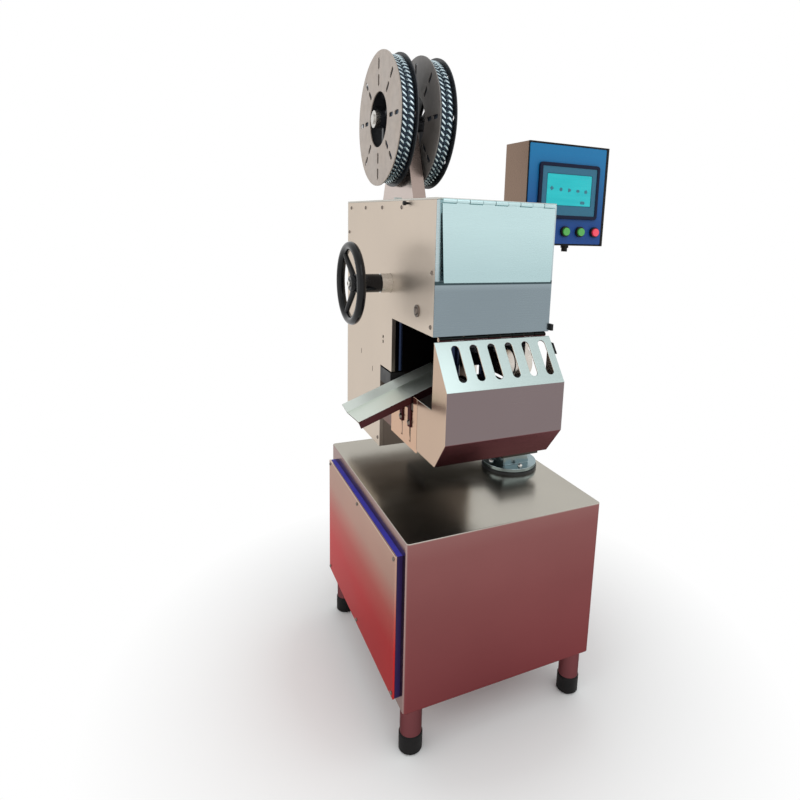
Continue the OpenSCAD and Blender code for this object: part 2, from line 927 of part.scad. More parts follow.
module punch_block() {
    half = guide_gap / 2 + guide_r + 14;
    color("slategray")
        difference() {
            union() {
                translate([tool_x - half, block_y0, punch_block_z])
                    cube([2 * half, guide_y + guide_r + 12 - block_y0, punch_block_h]);
                translate([tool_x, ram_y, punch_block_z])
                    cylinder(r = ram_r, h = ceiling_z + 60 - punch_block_z);
            }
            at_guides()
                translate([0, 0, punch_block_z - 1])
                    cylinder(r = guide_r + run, h = punch_block_h + 2);
        }
}

module clip_punches() {
    drop = punch_block_z - punch_z;
    color("silver") {
        for (x = [-1, 1])
            translate([tool_x + x * clip_gap / 2 - 5, ram_y - 18, punch_z])
                cube([10, 36, drop]);
        translate([tool_x - 1.5, ram_y - 22, punch_z - 5])
            cube([3, 44, drop + 5]);
    }
}

module die_block() {
    half = clip_gap / 2 + 20;
    groove_r = 6;
    color("silver")
        difference() {
            union() {
                translate([tool_x - half, block_y0, jaw_top + gap])
                    cube([2 * half, ram_y + 34 - block_y0, die_top - jaw_top - gap]);
                translate([tool_x, ram_y, jaw_top - jaw_t + 2])
                    cylinder(r = ram_r, h = jaw_t);
            }
            for (x = [-1, 1])
                translate([tool_x + x * clip_gap / 2, block_y0 - 1, die_top])
                    rotate([-90, 0, 0])
                        cylinder(r = groove_r, h = ram_y + 36 - block_y0);
            translate([tool_x - 3, block_y0 - 1, die_top - 12])
                cube([6, ram_y + 36 - block_y0, 13]);
        }
}

module reel_post() {
    wall = 4;
    foot = [reel_y - 120, reel_y + 120];
    head = [reel_y - 25, reel_y + 25];
    top = reel_z + 35;
    color("gray")
        difference() {
            along_x(post_x0, post_w)
                polygon([[foot[0], head_z1], [foot[1], head_z1], [head[1], top], [head[0], top]]);
            along_x(post_x0 + wall, post_w - 2 * wall)
                polygon([[foot[0] + 2 * wall, head_z1 - 1], [foot[1] + 10, head_z1 - 1],
                    [foot[1] + 10, top + 1], [head[0] + 2 * wall, top + 1]]);
            rod_x(post_x0 - 1, post_w + 2, [reel_y, reel_z], reel_shaft_r + run);
        }
}

module reel_shaft() {
    over = reel_stop + 4;
    color("silver")
        rod_x(reel_x[0] - over, reel_x[1] - reel_x[0] + reel_w + 2 * over, [reel_y, reel_z], reel_shaft_r);
}

// Collar on the reel shaft.
module shaft_collar(x0, length) {
    difference() {
        rod_x(x0, length, [reel_y, reel_z], reel_shaft_r + 9);
        rod_x(x0 - 1, length + 2, [reel_y, reel_z], reel_shaft_r + run);
    }
}

module reel_stops() {
    color("dimgray") {
        shaft_collar(reel_x[0] - reel_stop - gap, reel_stop);
        shaft_collar(reel_x[0] + reel_w + gap, reel_spacer - gap);
        shaft_collar(reel_x[1] - reel_spacer, reel_spacer - gap);
        shaft_collar(reel_x[1] + reel_w + gap, reel_stop);
    }
}

module clip_tracks() {
    track = [17.4, 11.4];
    color("goldenrod")
        for (x = reel_x)
            translate([x + reel_w / 2, reel_y - 95, 0]) {
                translate([-track[0] / 2, -track[1] / 2, plate_z1 - 40])
                    cube([track[0], track[1], sheet_t + 50]);
                translate([-14, -12, head_z1])
                    cube([28, 24, 4]);
            }
}

// Two slotted flanges of one reel.
module reel_flanges(x0) {
    slot = [18, 11];
    for (x = [x0, x0 + reel_w - reel_flange_t])
        along_x(x, reel_flange_t)
            translate([reel_y, reel_z])
                difference() {
                    circle(reel_dia / 2);
                    circle(reel_eye_r);
                    for (a = [0:45:315], r = [reel_dia * 0.29, reel_dia * 0.41])
                        rotate(a)
                            translate([r, 0]) {
                                square(slot, center = true);
                                for (s = [-1, 1])
                                    translate([s * slot[0] / 2, 0])
                                        circle(slot[1] / 2);
                            }
                }
}

// Drum, hub and spokes of one reel.
module reel_drum(x0) {
    hub_r = reel_shaft_r + 8;
    x1 = x0 + reel_flange_t;
    inner = reel_w - 2 * reel_flange_t;
    along_x(x1, inner)
        translate([reel_y, reel_z])
            difference() {
                circle(drum_dia / 2);
                circle(drum_dia / 2 - drum_t);
            }
    difference() {
        union() {
            rod_x(x0, reel_w, [reel_y, reel_z], hub_r);
            along_x(x1 + inner / 4, inner / 2)
                translate([reel_y, reel_z])
                    for (a = [30, 150, 270])
                        rotate(a)
                            translate([0, -6])
                                square([drum_dia / 2 - drum_t / 2, 12]);
        }
        rod_x(x0 - 1, reel_w + 2, [reel_y, reel_z], reel_shaft_r + run);
    }
}

// Wound strip of U-shaped clips: every clip stands out from the roll as a flat tooth.
module reel_clips(x0) {
    tooth = 5;
    step = 360 / clip_n;
    outer = roll_dia / 2;
    along_x(x0 + reel_flange_t + 1, reel_w - 2 * reel_flange_t - 2)
        translate([reel_y, reel_z])
            difference() {
                polygon([for (i = [0:clip_n - 1], c = [[0, 0], [0.62, 0], [0.7, 1], [0.92, 1]])
                    (outer - c[1] * tooth) * [cos((i + c[0]) * step), sin((i + c[0]) * step)]]);
                circle(drum_dia / 2 + 0.2);
            }
}

module reel_1_flanges() {
    color("darkkhaki")
        reel_flanges(reel_x[0]);
}

module reel_1_drum() {
    color("darkslategray")
        reel_drum(reel_x[0]);
}

module reel_1_clips() {
    color("gainsboro")
        reel_clips(reel_x[0]);
}

module reel_2_flanges() {
    color("darkkhaki")
        reel_flanges(reel_x[1]);
}

module reel_2_drum() {
    color("darkslategray")
        reel_drum(reel_x[1]);
}

module reel_2_clips() {
    color("gainsboro")
        reel_clips(reel_x[1]);
}

module box_arm() {
    foot = 100;
    color("gray") {
        translate([head_x1, pivot_y - arm_side / 2, arm_z1 - arm_side])
            cube([box_mid - head_x1 + boss_r, arm_side, arm_side]);
        translate([head_x1, pivot_y - foot / 2, arm_z1 - arm_side / 2 - foot / 2])
            cube([8, foot, foot]);
        translate([box_mid, pivot_y, arm_z1 - 1])
            cylinder(r = pivot_r, h = bracket_h + pivot_r);
    }
}

module box_bracket() {
    back = box_y0 + box_d;
    color("dimgray")
        difference() {
            union() {
                translate([box_mid, pivot_y, arm_z1 + gap])
                    cylinder(r = boss_r, h = bracket_h);
                translate([box_mid - boss_r, back, box_z0 + 12])
                    cube([2 * boss_r, pivot_y - back, arm_z1 + gap + bracket_h - box_z0 - 12]);
            }
            translate([box_mid, pivot_y, arm_z1])
                cylinder(r = pivot_r + run, h = bracket_h + 2 * pivot_r);
        }
}

module control_box() {
    color("silver")
        difference() {
            translate([box_x0, box_y0, box_z0])
                cube([box_w, box_d, box_h]);
            translate([box_x0 + box_wall, box_y0 - 1, box_z0 + box_wall])
                cube([box_w - 2 * box_wall, box_d + 1 - box_wall, box_h - 2 * box_wall]);
        }
}

module panel_seal() {
    rim = 14;
    color("black")
        translate([box_x0, box_y0 - seal_t, box_z0])
            difference() {
                cube([box_w, seal_t, box_h]);
                translate([rim, -1, rim])
                    cube([box_w - 2 * rim, seal_t + 2, box_h - 2 * rim]);
            }
}

// Outline along +Y of a rounded panel.
module panel_slab(x, y, z, w, h, t, r) {
    translate([x + w / 2, y + t, z + h / 2])
        rotate([90, 0, 0])
            linear_extrude(t)
                round_rect(w, h, r);
}

hmi_x0 = box_mid - hmi_w / 2;
hmi_lap = 6;

module control_panel() {
    color("steelblue")
        difference() {
            panel_slab(panel_x0, panel_y, box_z0 + panel_inset,
                panel_w, box_h - 2 * panel_inset, panel_t, 3);
            translate([hmi_x0 + hmi_lap, panel_y - 1, hmi_z0 + hmi_lap])
                cube([hmi_w - 2 * hmi_lap, panel_t + 2, hmi_h - 2 * hmi_lap]);
            for (x = button_x)
                translate([x, panel_y - 1, button_z])
                    rotate([-90, 0, 0])
                        cylinder(r = button_hole / 2 + screw_clear, h = panel_t + 2);
        }
}

module operator_screen() {
    lap = hmi_lap + 1;
    glass_z0 = hmi_z0 + hmi_h / 2 - screen_h / 2 + 4;
    color("darkslateblue")
        difference() {
            union() {
                panel_slab(hmi_x0, panel_y - hmi_t, hmi_z0, hmi_w, hmi_h, hmi_t, 8);
                translate([hmi_x0 + lap, panel_y, hmi_z0 + lap])
                    cube([hmi_w - 2 * lap, 34, hmi_h - 2 * lap]);
            }
            panel_slab(box_mid - screen_w / 2, panel_y - hmi_t - 1, glass_z0, screen_w, screen_h, 2, 2);
        }
}

module button_bezels() {
    color("silver")
        for (x = button_x)
            translate([x, panel_y, button_z])
                rotate([-90, 0, 0])
                    difference() {
                        union() {
                            translate([0, 0, -bezel_l])
                                cylinder(r = bezel_r, h = bezel_l);
                            cylinder(r = button_hole / 2, h = barrel_l);
                        }
                        translate([0, 0, -bezel_l - 1])
                            cylinder(r = cap_r + run, h = bezel_l + 1 - bezel_floor);
                        translate([0, 0, -1])
                            cylinder(r = stem_r + run, h = barrel_l + 2);
                    }
}

// Push button cap with its stem.
module push_button(x) {
    cap_l = 8;
    translate([x, panel_y - bezel_floor - button_travel - gap - cap_l, button_z])
        rotate([-90, 0, 0]) {
            cylinder(r = cap_r, h = cap_l);
            cylinder(r = stem_r, h = cap_l + 18);
        }
}

module start_button() {
    color("green")
        push_button(button_x[0]);
}

module cycle_button() {
    color("green")
        push_button(button_x[1]);
}

module stop_button() {
    color("red")
        push_button(button_x[2]);
}

module cable_gland() {
    color("dimgray")
        translate([box_mid + 48, box_y0 + box_d / 2, box_z0]) {
            translate([0, 0, -9])
                cylinder(r = 13, h = 9, $fn = 6);
            translate([0, 0, -20])
                cylinder(r = 9, h = 11);
        }
}

base_cabinet();
side_cover();
cover_gasket();
cover_screws();
legs();
feet();
mounting_plate();
electrical_gear();
swivel_ring();
swivel_column();
flange_bolts();
bed_plate();
left_side_plate();
right_side_plate();
inner_liner();
front_panel();
top_cover();
rear_cover();
plate_screws();
flap_hinge();
front_flap();
guard_hinge();
front_guard();
interlock_switch();
interlock_key();
skirt_plate();
skirt_bracket();
chute();
chute_screws();
shaft_bearing();
main_shaft();
handwheel();
gearbox();
drive_motor();
guide_columns();
lower_jaw();
punch_block();
clip_punches();
die_block();
reel_post();
reel_shaft();
reel_stops();
clip_tracks();
reel_1_flanges();
reel_1_drum();
reel_1_clips();
reel_2_flanges();
reel_2_drum();
reel_2_clips();
box_arm();
box_bracket();
control_box();
panel_seal();
control_panel();
operator_screen();
button_bezels();
start_button();
cycle_button();
stop_button();
cable_gland();
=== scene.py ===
import json
import math

import bmesh
import bpy
import numpy as np
from mathutils import Matrix, Vector


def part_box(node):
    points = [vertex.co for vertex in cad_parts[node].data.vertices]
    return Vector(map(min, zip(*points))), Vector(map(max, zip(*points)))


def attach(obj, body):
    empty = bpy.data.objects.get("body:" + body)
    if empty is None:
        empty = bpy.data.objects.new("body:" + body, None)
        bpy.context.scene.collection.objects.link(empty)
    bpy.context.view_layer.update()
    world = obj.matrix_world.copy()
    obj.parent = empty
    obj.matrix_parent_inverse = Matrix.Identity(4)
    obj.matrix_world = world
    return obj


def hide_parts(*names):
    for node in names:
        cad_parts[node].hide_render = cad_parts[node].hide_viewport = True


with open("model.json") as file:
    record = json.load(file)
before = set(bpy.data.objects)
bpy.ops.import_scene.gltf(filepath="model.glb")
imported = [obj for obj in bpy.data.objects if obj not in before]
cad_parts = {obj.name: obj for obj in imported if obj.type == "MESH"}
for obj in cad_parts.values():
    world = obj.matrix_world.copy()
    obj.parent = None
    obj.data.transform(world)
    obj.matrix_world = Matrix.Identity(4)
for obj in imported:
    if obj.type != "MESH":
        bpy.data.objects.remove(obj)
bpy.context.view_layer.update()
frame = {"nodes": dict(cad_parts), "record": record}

# Base cabinet. A box of 4 mm stainless sheet, folded and welded, its seams ground
# flush and the whole brushed lengthwise; it carries the swivelling head on its top.


def put(tree, kind, sockets=None, **settings):
    """Adds one shader node: settings are its own properties, sockets its inputs by name or number,
    each given as a plain value or as another node's output."""
    made = tree.nodes.new(kind)
    for name, value in settings.items():
        setattr(made, name, value)
    for name, value in (sockets or {}).items():
        if isinstance(value, bpy.types.NodeSocket):
            tree.links.new(value, made.inputs[name])
        else:
            made.inputs[name].default_value = value
    return made


def ramp(tree, factor, *stops):
    """A colour ramp on a factor, from stops of (place, linear colour)."""
    made = put(tree, "ShaderNodeValToRGB", {"Fac": factor})
    band = made.color_ramp.elements
    while len(band) < len(stops):
        band.new(0.5)
    for stop, (place, colour) in zip(band, stops):
        stop.position = place
        stop.color = (*colour, 1.0)
    return made.outputs["Color"]


def spread(tree, value, low, high, to_low, to_high):
    """Maps a value from one range to another, held at the ends."""
    return put(tree, "ShaderNodeMapRange", {"Value": value, "From Min": low, "From Max": high,
               "To Min": to_low, "To Max": to_high}).outputs["Result"]


def tints(tree, value, stops):
    """The tint at a value, from a list of (value, tint) that is blended in straight steps."""
    low, high = stops[0][0], stops[-1][0]
    share = spread(tree, value, low, high, 0.0, 1.0)
    return ramp(tree, share, *[((at - low) / (high - low), tint) for at, tint in stops])


def times(tree, one, other):
    """Two colours multiplied."""
    made = put(tree, "ShaderNodeMix", {0: 1.0, 6: one, 7: other}, data_type="RGBA", blend_type="MULTIPLY")
    return made.outputs[2]


def mixed(tree, share, one, other):
    """A share of the second colour laid over the first."""
    return put(tree, "ShaderNodeMix", {0: share, 6: one, 7: other}, data_type="RGBA").outputs[2]


def noise(tree, place, scale, detail):
    """Cloudy noise from 0 to 1, at a scale in cells to the metre."""
    made = put(tree, "ShaderNodeTexNoise", {"Vector": place, "Scale": scale, "Detail": detail})
    return made.outputs["Fac"]


def parts_of(tree, vector):
    """The X, Y and Z of a vector."""
    return put(tree, "ShaderNodeSeparateXYZ", {"Vector": vector}).outputs


def facing(tree):
    """The face's own direction as X, Y and Z."""
    return parts_of(tree, put(tree, "ShaderNodeTexCoord").outputs["Normal"])


def blank(name):
    """A new material with its node tree, its shader and the Object coordinates."""
    material = bpy.data.materials.new(name)
    material.use_nodes = True
    tree = material.node_tree
    place = put(tree, "ShaderNodeTexCoord").outputs["Object"]
    return material, tree, tree.nodes["Principled BSDF"], place


def brushed_steel(name, colour, grain, rough, foot=None, fold=None, flank=None, marks=0.05):
    """Stainless sheet. Noise drawn out along the rolling direction makes hairlines, which shift the
    colour by a percent or two, spread the gloss and lift the surface by microns. A slow cloud adds the
    uneven polish of handling, darker by the part called marks. grain is the noise's scale along X, Y
    and Z, and rough the lowest and highest roughness. Where given, foot lists (height, tint), fold
    lists (upward part of the face's own direction, tint), and flank is the colour of the faces turned to
    the left: tints that paint shade, light and reflections into the colour by height, by the way a face
    is turned and on the faces turned to the left."""
    material, tree, shader, place = blank(name)
    drawn = put(tree, "ShaderNodeMapping", {"Vector": place, "Scale": grain}).outputs["Vector"]
    hair = noise(tree, drawn, 1.0, 3.0)
    cloud = noise(tree, place, 5.0, 3.0)
    shade = np.array(colour)
    tone = ramp(tree, hair, (0.30, shade * 0.98), (0.52, shade), (0.74, np.minimum(shade * 1.015, 1.0)))
    smear = ramp(tree, cloud, (0.32, (1 - marks,) * 3), (0.62, (1.0, 1.0, 1.0)))
    plain = times(tree, tone, smear)
    tone = plain
    if foot:
        tone = times(tree, tone, tints(tree, parts_of(tree, place)["Z"], foot))
    if fold:
        tone = times(tree, tone, tints(tree, facing(tree)["Z"], fold))
    if flank:
        turned = spread(tree, facing(tree)["X"], -0.9, -0.6, 1.0, 0.0)
        left_tone = times(tree, plain, (*(np.array(flank) / shade), 1.0))
        tone = mixed(tree, turned, tone, left_tone)
    tree.links.new(tone, shader.inputs["Base Color"])
    tree.links.new(mixed(tree, 0.5, tone, (1.0, 1.0, 1.0, 1.0)), shader.inputs["Specular Tint"])
    both = put(tree, "ShaderNodeMath", {0: hair, 1: cloud}, operation="ADD").outputs[0]
    tree.links.new(spread(tree, both, 0.7, 1.3, *rough), shader.inputs["Roughness"])
    shader.inputs["Metallic"].default_value = 1.0
    relief = put(tree, "ShaderNodeBump", {"Height": hair, "Strength": 0.02, "Distance": 0.0001})
    tree.links.new(relief.outputs["Normal"], shader.inputs["Normal"])
    return material


nodes = frame["nodes"]
record = frame["record"]
body_of = {node: body for body, group in record["behaviour"]["bodies"].items() for node in group}


def linked(name, mesh, crease):
    """Puts a mesh into the scene as a piece, smooth all over but for edges sharper than the crease, in
    degrees."""
    mesh.polygons.foreach_set("use_smooth", np.ones(len(mesh.polygons), bool))
    mesh.set_sharp_from_angle(angle=math.radians(crease))
    piece = bpy.data.objects.new(name, mesh)
    bpy.context.scene.collection.objects.link(piece)
    return piece


def eased(node, material, radius):
    """A merged copy of a CAD solid with its flats made whole and every sharp edge rounded to the
    radius that the fold, the grinder or the mould leaves; it stands for the node."""
    same_point, same_flat, sharp_edge = 2e-6, math.radians(0.6), math.radians(32)
    copy = bpy.data.meshes.new(node + "_eased")
    work = bmesh.new()
    work.from_mesh(nodes[node].data)
    bmesh.ops.remove_doubles(work, verts=work.verts, dist=same_point)
    bmesh.ops.dissolve_limit(work, angle_limit=same_flat, verts=work.verts, edges=work.edges)
    work.to_mesh(copy)
    work.free()
    for extra in [layer for layer in copy.attributes if layer.name == "custom_normal"]:
        copy.attributes.remove(extra)
    copy.materials.clear()
    copy.materials.append(material)
    piece = linked(node + "_eased", copy, crease=30)
    edge = piece.modifiers.new("edge", "BEVEL")
    edge.width = radius
    edge.segments = 2
    edge.limit_method = "ANGLE"
    edge.angle_limit = sharp_edge
    edge.use_clamp_overlap = False
    edge.harden_normals = True
    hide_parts(node)
    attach(piece, body_of[node])


def dress(material, *names):
    """Gives CAD solids that keep their shape their finish."""
    for name in names:
        nodes[name].material_slots[0].material = material


# The red and maroon tint that deepens towards the cabinet's foot is a painted reflection of a red floor, and
# the darker brown of the faces turned to the left is painted shade.
cabinet_steel = brushed_steel("cabinet_steel", colour=(0.58, 0.56, 0.52), grain=(14, 14, 1400),
                              rough=(0.18, 0.26), flank=(0.40, 0.29, 0.27),
                              foot=[(0.12, (0.39, 0.10, 0.115)), (0.34, (0.39, 0.13, 0.14)),
                                    (0.48, (0.43, 0.17, 0.178)), (0.522, (0.48, 0.22, 0.225)),
                                    (0.5245, (0.90, 0.88, 0.84))])
eased("base_cabinet", cabinet_steel, radius=0.0018)

# Side cover. A flat lid over the service opening, drawn against a blue silicone
# gasket by six domed screws.
# The red that fills the cover's lower part is a painted reflection of a red floor, and the faces turned
# upwards are lightened as painted light.
cover_steel = brushed_steel("cover_steel", colour=(0.60, 0.40, 0.32), grain=(14, 14, 1600),
                            rough=(0.17, 0.26),
                            foot=[(0.02, (0.90, 0.10, 0.13)), (0.26, (0.88, 0.09, 0.12)),
                                  (0.34, (0.80, 0.26, 0.27)), (0.42, (0.78, 0.70, 0.70)),
                                  (0.55, (0.80, 0.86, 0.86))],
                            fold=[(0.3, (1.0, 1.0, 1.0)), (0.7, (1.5, 1.9, 2.0))])
eased("side_cover", cover_steel, radius=0.0012)


def moulded(name, colour, speck, rough, relief=0.05, metal=0.0, coat=0.0, shine=0.5, fold=None):
    """A cast, moulded or turned finish. Fine noise shifts the colour a little either way and lifts the
    surface by the relief, and a coarser one darkens it in places and spreads the gloss. speck is the
    fine noise's scale, rough the lowest and highest roughness, shine the strength of the reflection,
    and fold, where given, lists (upward part of the face's own direction, tint): a painted light and
    shade by the way a face is turned."""
    material, tree, shader, place = blank(name)
    fine = noise(tree, place, speck, 4.0)
    broad = noise(tree, place, 14.0, 2.0)
    shade = np.array(colour)
    tone = ramp(tree, fine, (0.30, shade * 0.90), (0.50, shade), (0.72, np.minimum(shade * 1.08, 1.0)))
    tone = times(tree, tone, ramp(tree, broad, (0.3, (0.94,) * 3), (0.6, (1.0,) * 3)))
    if fold:
        tone = times(tree, tone, tints(tree, facing(tree)["Z"], fold))
    tree.links.new(tone, shader.inputs["Base Color"])
    tree.links.new(spread(tree, broad, 0.35, 0.65, *rough), shader.inputs["Roughness"])
    bump = put(tree, "ShaderNodeBump", {"Height": fine, "Strength": relief, "Distance": 0.0005})
    tree.links.new(bump.outputs["Normal"], shader.inputs["Normal"])
    shader.inputs["Metallic"].default_value = metal
    shader.inputs["Coat Weight"].default_value = coat
    shader.inputs["Specular IOR Level"].default_value = shine
    return material


# The gasket's faces not turned upwards are darkened to navy and maroon: painted shade and a painted
# reflection of a red floor.
gasket = moulded("gasket_silicone", colour=(0.036, 0.036, 0.42), speck=60, rough=(0.38, 0.55), shine=0.25,
                 fold=[(0.1, (0.45, 0.12, 0.16)), (0.5, (1.0, 1.0, 1.0))])
dress(gasket, "cover_gasket")
screw_steel = moulded("screw_steel", colour=(0.17, 0.14, 0.12), speck=900, rough=(0.20, 0.34), metal=1.0)
dress(screw_steel, "cover_screws", "plate_screws", "chute_screws")

# Legs and feet. Four stubs of stainless tube, welded under the cabinet, each shod
# with a black rubber foot.
# The legs' dark maroon colour is a painted reflection of a red floor on the stainless tube.
leg_steel = brushed_steel("leg_steel", colour=(0.20, 0.065, 0.07), grain=(20, 20, 1400), rough=(0.28, 0.40))
dress(leg_steel, "legs")
foot_rubber = moulded("foot_rubber", colour=(0.009, 0.008, 0.008), speck=240, rough=(0.50, 0.75),
                      relief=0.25, shine=0.15)
dress(foot_rubber, "feet")

# Inside of the cabinet. A galvanised mounting plate with the drive inverter, the
# contactors and the power supply, all seen only when the cover is off.
zinc = moulded("zinc_plate", colour=(0.55, 0.57, 0.58), speck=120, rough=(0.30, 0.48), metal=1.0)
dress(zinc, "mounting_plate")
unit_plastic = moulded("unit_plastic", colour=(0.055, 0.058, 0.064), speck=500, rough=(0.40, 0.55))
dress(unit_plastic, "electrical_gear")

# Swivel. A turned ring on the cabinet top, and on it the flanged square column that
# lets the whole head turn; four domed bolts clamp the flange.
ring_steel = moulded("blued_ring", colour=(0.045, 0.048, 0.050), speck=300, rough=(0.30, 0.45), metal=0.6)
dress(ring_steel, "swivel_ring")
bright_steel = moulded("turned_steel", colour=(0.62, 0.60, 0.57), speck=900, rough=(0.16, 0.32), metal=1.0)
dress(bright_steel, "flange_bolts")
column_steel = brushed_steel("column_steel", colour=(0.36, 0.44, 0.46), grain=(14, 14, 1200),
                             rough=(0.16, 0.26))
eased("swivel_column", column_steel, radius=0.0012)
# The bed plate is coloured near-black as painted shade for its shaded underside.
bed_steel = brushed_steel("bed_steel", colour=(0.07, 0.062, 0.055), grain=(1200, 14, 14), rough=(0.28, 0.40))
eased("bed_plate", bed_steel, radius=0.0015)

# Head plates. Two 10 mm stainless plates carry everything in the head; their faces
# are ground with a fine upright grain and softly mirror what stands close to them.
# Only the faces turned to the left keep a pale beige; the plate's other faces are darkened to brown as
# painted shade.
left_steel = brushed_steel("left_plate_steel", colour=(0.20, 0.165, 0.14), grain=(14, 1500, 14),
                           rough=(0.32, 0.40), marks=0.03, flank=(0.66, 0.575, 0.49))
eased("left_side_plate", left_steel, radius=0.0008)
right_steel = brushed_steel("right_plate_steel", colour=(0.66, 0.61, 0.55), grain=(14, 1500, 14),
                            rough=(0.24, 0.32), marks=0.03)
eased("right_side_plate", right_steel, radius=0.0008)

# Fittings on the left plate. A small black locking knob near the top and a capped oil
# filler above the mouth.


def surface(x, y, z):
    """The points of a surface from its x, y and z, each spread out to the grid that they share."""
    return np.stack(np.broadcast_arrays(x, y, z), axis=-1)


def circle(count):
    """The angles of a full turn in equal steps."""
    return np.linspace(0, 2 * np.pi, count, endpoint=False)


def grid(points, loop=False, ends=False):
    """The faces of a surface given as rows by columns of points. Each row is closed on itself, loop
    joins the last row to the first, and ends closes the first and last rows with one face each."""
    rows, columns = points.shape[:2]
    index = np.arange(rows * columns).reshape(rows, columns)
    near = index if loop else index[:-1]
    far = np.roll(index, -1, axis=0) if loop else index[1:]
    corners = (near, np.roll(near, -1, axis=1), np.roll(far, -1, axis=1), far)
    faces = np.stack(corners, axis=-1).reshape(-1, 4).tolist()
    if ends:
        faces += [index[0].tolist(), index[-1].tolist()]
    return points.reshape(-1, 3), faces


def turned_x(profile, y, z, count=48):
    """A lathe-turned form about an axis along X through y, z: each (x, radius) of the profile is
    swept round the full circle."""
    along, radius = np.array(profile, float).T[:, :, None]
    angle = circle(count)
    return surface(along, y + radius * np.cos(angle), z + radius * np.sin(angle))


def out_from(face_x, profile):
    """A profile of (out, radius) as (x, radius): out is measured from a face to the left, along -X."""
    return [(face_x - out, radius) for out, radius in profile]


def forge(name, body, slot, material, *surfaces, crease=35, stands_for=()):
    """One piece from one or more surfaces: their points are put in a row, their faces renumbered, and
    every face is turned outwards."""
    points, faces = [], []
    start = 0
    for some, joined in surfaces:
        points.append(some)
        faces += [[start + corner for corner in face] for face in joined]
        start += len(some)
    mesh = bpy.data.meshes.new(name)
    mesh.from_pydata(np.concatenate(points).tolist(), [], faces)
    work = bmesh.new()
    work.from_mesh(mesh)
    bmesh.ops.recalc_face_normals(work, faces=work.faces)
    work.to_mesh(mesh)
    work.free()
    mesh.materials.append(material)
    piece = linked(name, mesh, crease)
    if stands_for:
        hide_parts(*stands_for)
    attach(piece, body)


plate_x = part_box("left_side_plate")[0].x
black_moulding = moulded("black_moulding", colour=(0.014, 0.013, 0.013), speck=420, rough=(0.26, 0.42),
                         shine=0.15)
knob_y, knob_z = -0.118, 1.212
knob = [(-0.001, 0.0026), (0.004, 0.0026), (0.005, 0.0044), (0.010, 0.0048), (0.0118, 0.0040),
        (0.0122, 0.0020)]
forge("locking_knob", "head", "black_plastic", black_moulding,
      grid(turned_x(out_from(plate_x, knob), knob_y, knob_z, count=32), ends=True))
filler_y, filler_z = -0.182, 0.989
filler = [(-0.001, 0.0135), (0.0016, 0.0135), (0.0022, 0.0128), (0.0022, 0.0100), (0.0008, 0.0094),
          (0.0008, 0.0078), (0.0042, 0.0066), (0.0054, 0.0040), (0.0056, 0.0012)]
forge("oil_filler", "head", "bright_steel", screw_steel,
      grid(turned_x(out_from(plate_x, filler), filler_y, filler_z, count=40), ends=True), crease=28)

# Inside of the head. Sheets line the mouth: bare brownish steel on the lower rear wall, and above it,
# round the tools, the sheet is coloured near-black as painted shade, so that the mouth looks deep.
liner_steel = brushed_steel("liner_steel", colour=(0.17, 0.14, 0.12), grain=(14, 14, 1200),
                            rough=(0.30, 0.44),
                            foot=[(0.60, (1.0, 1.0, 1.0)), (0.76, (0.80, 0.72, 0.66)),
                                  (0.80, (0.03, 0.03, 0.035)), (0.95, (0.03, 0.03, 0.04))])
dress(liner_steel, "inner_liner")

# Front of the head. A folded front panel, a lift-up flap over the clip magazine on a
# pinned knuckle hinge, a top cover and a slotted rear cover. A dark band on the panel just
# below the flap is a painted shadow of the flap, and the panel is darker towards the bottom.
flap_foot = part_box("front_flap")[0].z
# The dark band at the flap's foot is a painted shadow of the flap on the panel.
flap_shadow_low, flap_shadow_high, flap_shadow_fade = flap_foot - 0.0045, flap_foot + 0.0015, 0.0015
flap_shadow_dark = (0.10, 0.13, 0.14)
panel_steel = brushed_steel("panel_steel", colour=(0.50, 0.60, 0.62), grain=(14, 14, 1500),
                            rough=(0.22, 0.30),
                            foot=[(1.04, (0.49, 0.50, 0.532)), (flap_shadow_low - flap_shadow_fade, (0.60, 0.61, 0.64)),
                                  (flap_shadow_low, flap_shadow_dark), (flap_shadow_high, flap_shadow_dark),
                                  (flap_shadow_high + flap_shadow_fade, (0.80, 0.82, 0.84)), (1.10, (1.0, 1.0, 1.0))])
eased("front_panel", panel_steel, radius=0.0014)
flap_steel = brushed_steel("flap_steel", colour=(0.56, 0.74, 0.75), grain=(14, 14, 1500),
                           rough=(0.24, 0.32), marks=0.02,
                           foot=[(1.075, (0.84, 0.86, 0.87)), (1.17, (1.0, 1.0, 1.0))])
eased("front_flap", flap_steel, radius=0.0009)
cover_sheet = brushed_steel("cover_sheet", colour=(0.62, 0.60, 0.55), grain=(14, 1400, 14),
                            rough=(0.20, 0.30))
eased("top_cover", cover_sheet, radius=0.0014)
eased("rear_cover", cover_sheet, radius=0.0010)
dress(flap_steel, "flap_hinge")

# Guard. One folded sheet hood with six round-ended slots, hinged along its top edge; a dark
# band along the sheet's top is a painted shadow of the gap there. A key on its edge works the
# black switch beside it, and a second switch block sits under the mouth.
knuckle_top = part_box("front_guard")[1].z
# The guard's top few millimetres, hinge included, are painted near-black as the shadow in the hinge gap.
hinge_shadow_start, hinge_shadow_full = knuckle_top - 0.0070, knuckle_top - 0.0055
